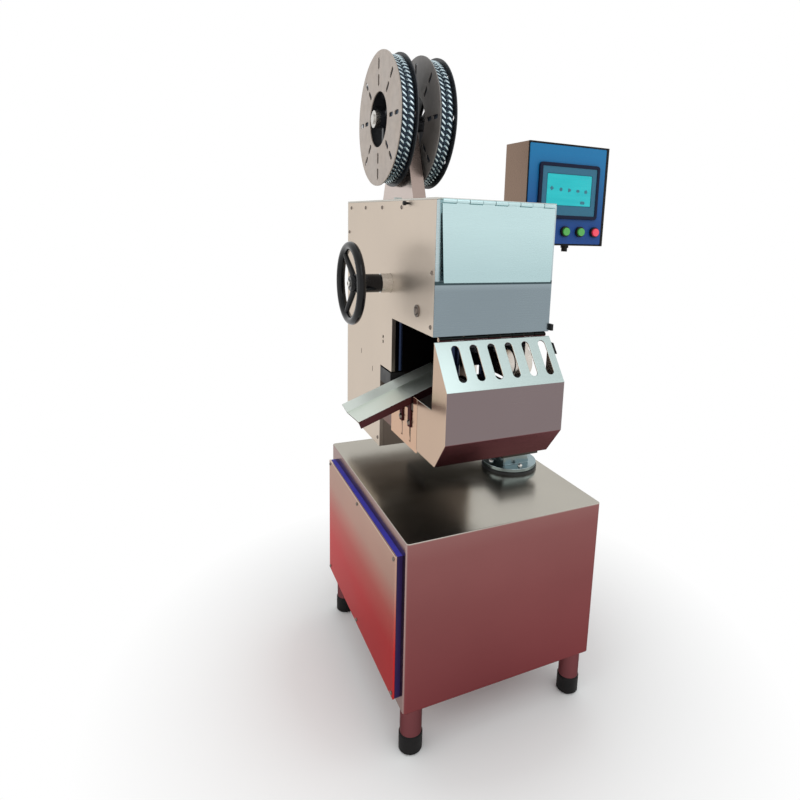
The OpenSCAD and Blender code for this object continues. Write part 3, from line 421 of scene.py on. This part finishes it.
# The guard's colour follows the way each face is turned: pale teal on the upward slope, grey-mauve on the
# front, maroon underneath and beige on the left, as painted light, shade and reflection.
guard_steel = brushed_steel("guard_steel", colour=(0.74, 0.74, 0.72), grain=(14, 14, 1500),
                            rough=(0.20, 0.28), marks=0.03, flank=(0.575, 0.435, 0.335),
                            foot=[(hinge_shadow_start, (1.0, 1.0, 1.0)), (hinge_shadow_full, (0.03, 0.03, 0.03))],
                            fold=[(-0.9, (0.24, 0.10, 0.11)), (-0.35, (0.25, 0.09, 0.10)),
                                  (-0.05, (0.29, 0.225, 0.235)), (0.05, (0.30, 0.24, 0.25)),
                                  (0.45, (0.70, 0.85, 0.84)), (1.0, (0.80, 0.92, 0.92))])
eased("front_guard", guard_steel, radius=0.0010)
dress(guard_steel, "guard_hinge")
dress(black_moulding, "interlock_switch", "interlock_key")

# Outlet. A bent sheet chute on a tab that slides up and down in the slotted skirt,
# with a painted bracket behind it.
skirt_steel = brushed_steel("skirt_steel", colour=(0.64, 0.44, 0.32), grain=(14, 1500, 14),
                            rough=(0.18, 0.26))
eased("skirt_plate", skirt_steel, radius=0.0007)
# The chute's faces not turned upwards are darkened to maroon as painted shade and a painted reflection of a
# red floor.
chute_steel = brushed_steel("chute_steel", colour=(0.74, 0.79, 0.73), grain=(14, 1500, 1500),
                            rough=(0.34, 0.44),
                            fold=[(-0.5, (0.09, 0.028, 0.034)), (0.2, (0.10, 0.032, 0.038)),
                                  (0.6, (1.0, 1.0, 1.0)), (1.0, (1.0, 1.0, 1.0))])
eased("chute", chute_steel, radius=0.0006)
bracket_paint = moulded("bracket_paint", colour=(0.16, 0.075, 0.055), speck=220, rough=(0.35, 0.55))
dress(bracket_paint, "skirt_bracket")

# Handwheel. A three-spoked wheel of glossy black moulded resin on the main shaft, its
# spokes slightly dished back to a long hub, which a domed screw holds on.
shaft_y, shaft_z = -0.012, 1.030
rim_x, rim_mid, rim_r = -0.287, 0.085, 0.010
hub_x, hub_end = -0.2894, -0.2174
spoke_angles = (55, 175, 295)
spoke_root = 0.012
spoke_wide, spoke_thick = 0.0105, 0.0066
spoke_narrows, spoke_thins = 0.0035, 0.0012
resin = moulded("black_resin", colour=(0.006, 0.006, 0.007), speck=500, rough=(0.08, 0.16), relief=0.02,
                coat=0.05, shine=0.2)


def rim():
    """A ring of round section: one angle runs round the section, the other round the shaft."""
    ring = circle(144)[:, None]
    tube = circle(24)[None, :]
    radius = rim_mid + rim_r * np.cos(tube)
    return surface(rim_x + rim_r * np.sin(tube), shaft_y + radius * np.cos(ring),
                   shaft_z + radius * np.sin(ring))


def spoke(angle):
    """A spoke as an oval carried from hub to rim: its path goes along X on a smooth step while the
    radius grows, and the oval's half width and half thickness shrink towards the rim."""
    way = np.linspace(0, 1, 17)[:, None]
    tube = circle(16)[None, :]
    ease = way * way * (3 - 2 * way)
    x = (hub_x + spoke_root) + (rim_x - hub_x - spoke_root) * ease
    radius = spoke_root + (rim_mid - spoke_root) * way
    wide = (spoke_wide - spoke_narrows * way) * np.cos(tube)
    thick = (spoke_thick - spoke_thins * way) * np.sin(tube)
    y = radius * np.cos(angle) - wide * np.sin(angle)
    z = radius * np.sin(angle) + wide * np.cos(angle)
    return surface(x + thick, shaft_y + y, shaft_z + z)


hub = [(hub_end, 0.0130), (hub_end, 0.0200), (hub_end - 0.004, 0.0215), (hub_x + 0.012, 0.0215),
       (hub_x + 0.003, 0.0190), (hub_x, 0.0160), (hub_x, 0.0090), (hub_x + 0.0015, 0.0085)]
forge("resin_handwheel", "wheel", "bakelite", resin, grid(rim(), loop=True),
      *[grid(spoke(math.radians(angle)), ends=True) for angle in spoke_angles],
      grid(turned_x(hub, shaft_y, shaft_z), ends=True), stands_for=("handwheel",))
cap_screw = [(-0.002, 0.0080), (0.0030, 0.0080), (0.0045, 0.0066), (0.0045, 0.0036), (0.0022, 0.0034),
             (0.0022, 0.0010)]
forge("hub_screw", "wheel", "bright_steel", bright_steel,
      grid(turned_x(out_from(hub_x, cap_screw), shaft_y, shaft_z, count=24), ends=True), crease=28)
dress(bright_steel, "main_shaft", "shaft_bearing")

# Drive. The cast gearbox inside the head turns the main shaft, and the finned motor
# stands behind it; both are painted grey.
cast_paint = moulded("cast_paint", colour=(0.20, 0.22, 0.23), speck=160, rough=(0.40, 0.58), relief=0.2)
dress(cast_paint, "gearbox", "drive_motor")

# Clipping tools. Ground columns guide a punch block above and a die block below, with
# hardened punches that close each clip.
# The punches and blocks are coloured near-black as painted shade, so that the mouth looks dark inside.
shaded_tool_steel = brushed_steel("shaded_tool_steel", colour=(0.10, 0.10, 0.11), grain=(300, 300, 300),
                             rough=(0.22, 0.34))
dress(shaded_tool_steel, "clip_punches", "punch_block", "die_block")
column_blue = moulded("blued_column", colour=(0.010, 0.020, 0.055), speck=300, rough=(0.14, 0.24), metal=0.7)
dress(column_blue, "guide_columns")
jaw_casting = moulded("jaw_casting", colour=(0.05, 0.05, 0.055), speck=200, rough=(0.32, 0.46), metal=0.8)
dress(jaw_casting, "lower_jaw")

# Reel stand. A tapered post of folded sheet, open at the rear, stands on the top cover
# and carries the shaft of the two clip reels; plated brass tracks lead the clip strips
# down into the head.
# Only the faces turned to the left keep a pale colour; the post's other faces are darkened to brown as
# painted shade.
post_steel = brushed_steel("post_steel", colour=(0.26, 0.20, 0.175), grain=(14, 14, 1200),
                           rough=(0.20, 0.30), flank=(0.66, 0.58, 0.54))
eased("reel_post", post_steel, radius=0.0010)
dress(bright_steel, "reel_shaft", "reel_stops")
track_brass = moulded("track_brass", colour=(0.42, 0.46, 0.44), speck=200, rough=(0.18, 0.32), metal=1.0)
dress(track_brass, "clip_tracks")

# Clip reels. A dark drum carries two flanges of slotted fibre board, the left one brown
# and the right one nearly black, and between them the strip of U-shaped aluminium clips,
# wound with the crowns outwards.


def graded(material, axis, low, high, colour):
    """The same finish, passing into another colour along an axis between two places on it."""
    tree = material.node_tree
    ground = tree.nodes["Principled BSDF"].inputs["Base Color"]
    along = parts_of(tree, put(tree, "ShaderNodeTexCoord").outputs["Object"])[axis]
    share = spread(tree, along, low, high, 0.0, 1.0)
    tree.links.new(mixed(tree, share, ground.links[0].from_socket, (*colour, 1.0)), ground)
    return material


# reel_2's board is much darker than reel_1's as a painted shadow of the first reel; both boards are the same
# fibre board.
board_tones = {"reel_1": (0.37, 0.31, 0.265), "reel_2": (0.17, 0.155, 0.145)}
dark_board = (0.016, 0.017, 0.020)
tone_step = 0.002
for reel, board_tone in board_tones.items():
    low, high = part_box(reel + "_flanges")
    middle = (low.x + high.x) / 2
    board = moulded(reel + "_board", colour=board_tone, speck=55, rough=(0.34, 0.50), relief=0.05, coat=0.1)
    dress(graded(board, "X", middle - tone_step, middle + tone_step, dark_board), reel + "_flanges")
drum = moulded("drum_moulding", colour=(0.012, 0.013, 0.016), speck=300, rough=(0.28, 0.45))
dress(drum, "reel_1_drum", "reel_2_drum")
clip_wire = moulded("clip_wire", colour=(0.60, 0.72, 0.76), speck=240, rough=(0.16, 0.28), metal=1.0)
strip_tape = moulded("strip_tape", colour=(0.030, 0.050, 0.080), speck=120, rough=(0.32, 0.50), metal=0.5)
reel_y, reel_z = 0.215, 1.430
crown_r, clip_count, clip_slant = 0.1605, 72, 0.0062
leg_drop, bow_rise = 0.019, 0.0168
bow_power, rise_power = 0.45, 0.55
leg_half, crown_half, wire_half = 0.0012, 0.0019, 0.0031
least_crown = 0.25
tape_bore, tape_side, tape_top, tape_edge = 0.0803, 0.1482, 0.1492, 0.001


def clips(left, right, phase):
    """One row of clips in the outer turn: a U-shaped path (a flattened half circle across the row, legs
    pointing at the shaft, its right end lower by the slant) carries an oval wire, and the whole is
    turned round the shaft in equal steps from a phase given as a part of one step."""
    way = np.linspace(0, np.pi, 11)[:, None]
    tube = circle(6)[None, :]
    bow = np.sign(np.cos(way)) * np.abs(np.cos(way)) ** bow_power
    rise = np.abs(np.sin(way)) ** rise_power
    half = (right - left) / 2 - leg_half
    x = (left + right) / 2 - bow * (half - leg_half * np.cos(tube) * np.abs(bow))
    thick = crown_half * np.cos(tube) * np.maximum(rise, least_crown)
    radius = crown_r - leg_drop + bow_rise * rise + thick
    side = wire_half * np.sin(tube) - clip_slant * bow
    step = 2 * np.pi * (np.arange(clip_count)[:, None, None] + phase) / clip_count
    y = radius * np.cos(step) - side * np.sin(step)
    z = radius * np.sin(step) + side * np.cos(step)
    points = surface(x[None], reel_y + y, reel_z + z)
    one, faces = grid(points[0], ends=True)
    size = len(one)
    return points.reshape(-1, 3), [[i * size + corner for corner in face]
                                   for i in range(clip_count) for face in faces]


for reel in board_tones:
    low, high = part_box(reel + "_clips")
    tape = [(low.x, tape_bore), (low.x, tape_side), (low.x + tape_edge, tape_top),
            (high.x - tape_edge, tape_top), (high.x, tape_side), (high.x, tape_bore)]
    forge(reel + "_strip", reel, "clip_alu", strip_tape,
          grid(turned_x(tape, reel_y, reel_z, count=96), loop=True), stands_for=(reel + "_clips",))
    middle = (low.x + high.x) / 2
    forge(reel + "_clip_turn", reel, "clip_alu", clip_wire, clips(low.x, middle, phase=0.0),
          clips(middle, high.x, phase=0.5), crease=60)

# Control box. A folded stainless box that swings at the end of an arm; its door is a
# blue faced panel on a black seal, whose lip stands round the panel's top and right,
# level with its face.
arm_steel = brushed_steel("arm_steel", colour=(0.56, 0.55, 0.53), grain=(1200, 14, 14), rough=(0.22, 0.32))
eased("box_arm", arm_steel, radius=0.0015)
eased("box_bracket", arm_steel, radius=0.0012)
box_steel = brushed_steel("box_steel", colour=(0.275, 0.195, 0.15), grain=(14, 1200, 14), rough=(0.22, 0.32))
eased("control_box", box_steel, radius=0.0010)
seal_rubber = moulded("seal_rubber", colour=(0.010, 0.010, 0.010), speck=260, rough=(0.5, 0.7), shine=0.15)
dress(seal_rubber, "panel_seal")
panel_low, panel_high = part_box("control_panel")
panel_face = moulded("panel_face", colour=(0.012, 0.062, 0.25), speck=380, rough=(0.30, 0.42), relief=0.03,
                     shine=0.2)
top_blue = (0.012, 0.17, 0.38)
blue_start, blue_full = panel_low.z + 0.05, panel_high.z - 0.02
panel_blue = graded(panel_face, "Z", blue_start, blue_full, top_blue)
eased("control_panel", panel_blue, radius=0.0008)


def bar(low, high):
    """A plain bar between two corners, as a rectangle carried along X."""
    y = np.array([low[1], high[1], high[1], low[1]])
    z = np.array([low[2], low[2], high[2], high[2]])
    return surface(np.array([low[0], high[0]])[:, None], y, z)


seal_low, seal_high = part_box("panel_seal")
lip_gap = 0.0003
lip_back = seal_low.y + 0.0005
top_lip = bar((seal_low.x, panel_low.y, panel_high.z + lip_gap), (seal_high.x, lip_back, seal_high.z))
right_lip = bar((panel_high.x + lip_gap, panel_low.y, seal_low.z), (seal_high.x, lip_back, panel_high.z))
forge("seal_lip", "controls", "rubber_black", seal_rubber, grid(top_lip, ends=True),
      grid(right_lip, ends=True))

# Operator screen. A slate-blue moulded frame with a stepped rim round a glowing
# display that shows a row of plain shapes on a turquoise ground.
frame_moulding = moulded("screen_frame", colour=(0.036, 0.15, 0.235), speck=420, rough=(0.34, 0.48),
                         shine=0.2)
eased("operator_screen", frame_moulding, radius=0.0015)
screen_low, screen_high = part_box("operator_screen")
screen_mid = np.array([(screen_low.x + screen_high.x) / 2, screen_low.y, (screen_low.z + screen_high.z) / 2])
screen_wide, screen_tall, screen_corner = 0.206, 0.152, 0.010
window_wide, window_tall, window_corner, window_z = 0.1535, 0.0855, 0.002, 1.276


def frame_ring(width, height, corner, middle, profile):
    """A moulded rim: a rounded rectangle in the panel's plane is the path, and each (in, out) of the
    profile is set in from the path and out from the panel."""
    count = 12
    arc = np.linspace(0, np.pi / 2, count)
    turns = np.concatenate([arc + k * np.pi / 2 for k in range(4)])
    quarter = np.repeat([0.25, 0.75, 1.25, 1.75], count) * np.pi
    inset, out = np.array(profile, float).T[:, :, None]
    reach = corner - inset
    x = middle[0] + np.sign(np.cos(quarter)) * (width / 2 - corner) + reach * np.cos(turns)
    z = middle[2] + np.sign(np.sin(quarter)) * (height / 2 - corner) + reach * np.sin(turns)
    return surface(x, middle[1] - out, z)


rim_moulding = moulded("screen_rim", colour=(0.004, 0.008, 0.030), speck=420, rough=(0.30, 0.44), shine=0.15)
stepped = [(0, -0.005), (0, 0.0010), (0.0012, 0.0024), (0.0085, 0.0024), (0.0098, 0.0014),
           (0.0098, -0.0010), (0.0060, -0.0050)]
forge("screen_rim", "controls", "hmi_grey", rim_moulding,
      grid(frame_ring(screen_wide, screen_tall, screen_corner, screen_mid, stepped), loop=True))
display, tree, shader, place = blank("display")
bands = put(tree, "ShaderNodeMapping", {"Vector": place, "Scale": (8, 1, 60)}).outputs["Vector"]
glow = ramp(tree, noise(tree, bands, 1.0, 2.0), (0.25, (0.014, 0.40, 0.44)), (0.70, (0.024, 0.47, 0.50)))
tree.links.new(glow, shader.inputs["Base Color"])
tree.links.new(glow, shader.inputs["Emission Color"])
shader.inputs["Emission Strength"].default_value = 0.18
shader.inputs["Roughness"].default_value = 0.12
shader.inputs["Specular IOR Level"].default_value = 0.2
glass_y = screen_low.y + 0.001
window_mid = np.array([screen_mid[0], glass_y, window_z])
pane = [(0, -0.0002), (0, 0.0004), (0.0018, 0.0005)]
forge("display_glass", "controls", "hmi_grey", display,
      grid(frame_ring(window_wide, window_tall, window_corner, window_mid, pane), ends=True), crease=30)
sign_back, sign_front = glass_y - 0.0003, glass_y - 0.0009


def sign(across, up, size, lobes, depth):
    """A plain flat shape on the display, placed from the window's middle: the radius swings with the
    angle, lobes times round by the given depth, between a back and a front plane."""
    angle = circle(36)
    radius = size * (1 + depth * np.cos(lobes * angle))
    plane = np.array([sign_back, sign_front])[:, None]
    return surface(window_mid[0] + across + radius * np.cos(angle), plane,
                   window_mid[2] + up + radius * np.sin(angle))


sign_ink = moulded("sign_ink", colour=(0.020, 0.16, 0.22), speck=300, rough=(0.30, 0.40))
signs = ((-0.060, 0.003, 0.0052, 4, 0.22), (-0.030, 0.001, 0.0050, 1, 0.25),
         (0.000, 0.000, 0.0050, 3, 0.18), (0.030, -0.001, 0.0048, 2, 0.20),
         (0.058, -0.002, 0.0050, 5, 0.15), (0.048, -0.033, 0.0060, 2, 0.35))
forge("display_signs", "controls", "hmi_grey", sign_ink, *[grid(sign(*each), ends=True) for each in signs])

# Push buttons. Three 22 mm illuminated buttons in black bezels: two green, for start
# and cycle, and one red, for stop; a cable gland leaves the underside of the box.
dress(black_moulding, "button_bezels")


def lens_cap(name, colour):
    """A translucent button cap: clear colour with a faint grain, a gloss and a weak glow of its own."""
    material = moulded(name, colour, speck=500, rough=(0.22, 0.32), coat=0.4)
    inner = material.node_tree.nodes["Principled BSDF"]
    inner.inputs["Emission Color"].default_value = (*colour, 1.0)
    inner.inputs["Emission Strength"].default_value = 0.25
    return material


green = lens_cap("green_lens", (0.050, 0.31, 0.045))
dress(green, "start_button", "cycle_button")
red = lens_cap("red_lens", (0.72, 0.035, 0.075))
dress(red, "stop_button")
dress(black_moulding, "cable_gland")

# Studio. A plain pale floor that fades into a white surround, a broad soft lamp at the
# left, one above the front and a weaker one at the right.
floor_half, fade_start, fade_end = 8.0, 0.42, 0.90
pure_white = (1.0, 1.0, 1.0, 1.0)
floor_mesh = bpy.data.meshes.new("floor")
reach = np.array([-floor_half, floor_half])
corner_x, corner_y = np.meshgrid(reach, reach)
corners = np.stack([corner_x, corner_y, np.zeros((2, 2))], axis=-1).reshape(-1, 3)
floor_mesh.from_pydata(corners.tolist(), [], [(0, 1, 3, 2)])
floor_paint, tree, shader, place = blank("pale_floor")
shader.inputs["Base Color"].default_value = (0.86, 0.86, 0.85, 1.0)
shader.inputs["Roughness"].default_value = 0.75
from_middle = put(tree, "ShaderNodeVectorMath", {0: place}, operation="LENGTH").outputs["Value"]
far = spread(tree, from_middle, fade_start, fade_end, 0.0, 1.0)
path = put(tree, "ShaderNodeLightPath")
seen = put(tree, "ShaderNodeMath", {0: path.outputs["Is Camera Ray"], 1: path.outputs["Is Glossy Ray"]},
           operation="MAXIMUM").outputs[0]
fade = put(tree, "ShaderNodeMath", {0: far, 1: seen}, operation="MULTIPLY").outputs[0]
white = put(tree, "ShaderNodeEmission", {"Color": pure_white, "Strength": 1.0}).outputs[0]
blend = put(tree, "ShaderNodeMixShader", {0: fade, 1: shader.outputs[0], 2: white}).outputs[0]
tree.links.new(blend, tree.nodes["Material Output"].inputs["Surface"])
floor_mesh.materials.append(floor_paint)
floor = bpy.data.objects.new("floor", floor_mesh)
bpy.context.scene.collection.objects.link(floor)

world = bpy.data.worlds.new("surround")
bpy.context.scene.world = world
world.use_nodes = True
tree = world.node_tree
climb = parts_of(tree, put(tree, "ShaderNodeTexCoord").outputs["Generated"])["Z"]
sky = ramp(tree, climb, (0.0, (1.0, 1.0, 1.0)), (0.45, (0.94, 0.95, 0.95)), (1.0, (0.86, 0.88, 0.90)))
path = put(tree, "ShaderNodeLightPath")
soft = tree.nodes["Background"]
tree.links.new(sky, soft.inputs["Color"])
soft.inputs["Strength"].default_value = 1.0
plain = put(tree, "ShaderNodeBackground", {"Color": pure_white, "Strength": 1.0}).outputs[0]
shown = put(tree, "ShaderNodeMixShader", {0: path.outputs["Is Camera Ray"], 1: soft.outputs[0], 2: plain})
tree.links.new(shown.outputs[0], tree.nodes["World Output"].inputs["Surface"])


def lamp(name, place, towards, wide, tall, power, colour):
    """A soft rectangular lamp at a place, facing a point."""
    light = bpy.data.lights.new(name, "AREA")
    light.shape = "RECTANGLE"
    light.size, light.size_y = wide, tall
    light.energy = power
    light.color = colour
    made = bpy.data.objects.new(name, light)
    made.location = place
    made.rotation_euler = (Vector(towards) - Vector(place)).to_track_quat("-Z", "Y").to_euler()
    bpy.context.scene.collection.objects.link(made)


lamp("left_lamp", place=(-2.6, -0.2, 1.5), towards=(0, 0, 1.0), wide=2.4, tall=2.0, power=8,
     colour=(1.0, 0.97, 0.92))
lamp("front_lamp", place=(0.2, -2.4, 3.2), towards=(0, 0, 0.9), wide=2.6, tall=1.6, power=12,
     colour=(0.95, 0.98, 1.0))
lamp("right_lamp", place=(2.6, -1.6, 1.8), towards=(0.1, 0, 0.9), wide=1.4, tall=1.8, power=4,
     colour=(1.0, 1.0, 1.0))

# Viewpoint. The machine is seen from beyond its front left corner, at the height of
# its head, through a wide lens tipped slightly down.
eye = np.array([-0.66517, -1.32760, 1.17659])
turn, tip, lean = 0.459033, 0.188109, 0.037230
right = np.array([math.cos(turn), -math.sin(turn), 0.0])
ahead = np.array([math.sin(turn) * math.cos(tip), math.cos(turn) * math.cos(tip), -math.sin(tip)])
above = np.cross(right, ahead)
pose = np.eye(4)
pose[:3, 0] = right * math.cos(lean) + above * math.sin(lean)
pose[:3, 1] = above * math.cos(lean) - right * math.sin(lean)
pose[:3, 2] = -ahead
pose[:3, 3] = eye
lens = bpy.data.cameras.new("viewpoint")
lens.lens = 26.61
lens.shift_x = -0.06945
lens.shift_y = -0.08178
viewpoint = bpy.data.objects.new("viewpoint", lens)
viewpoint.matrix_world = Matrix(pose.tolist())
bpy.context.scene.collection.objects.link(viewpoint)
bpy.context.scene.camera = viewpoint
bpy.context.scene.view_settings.view_transform = "Standard"
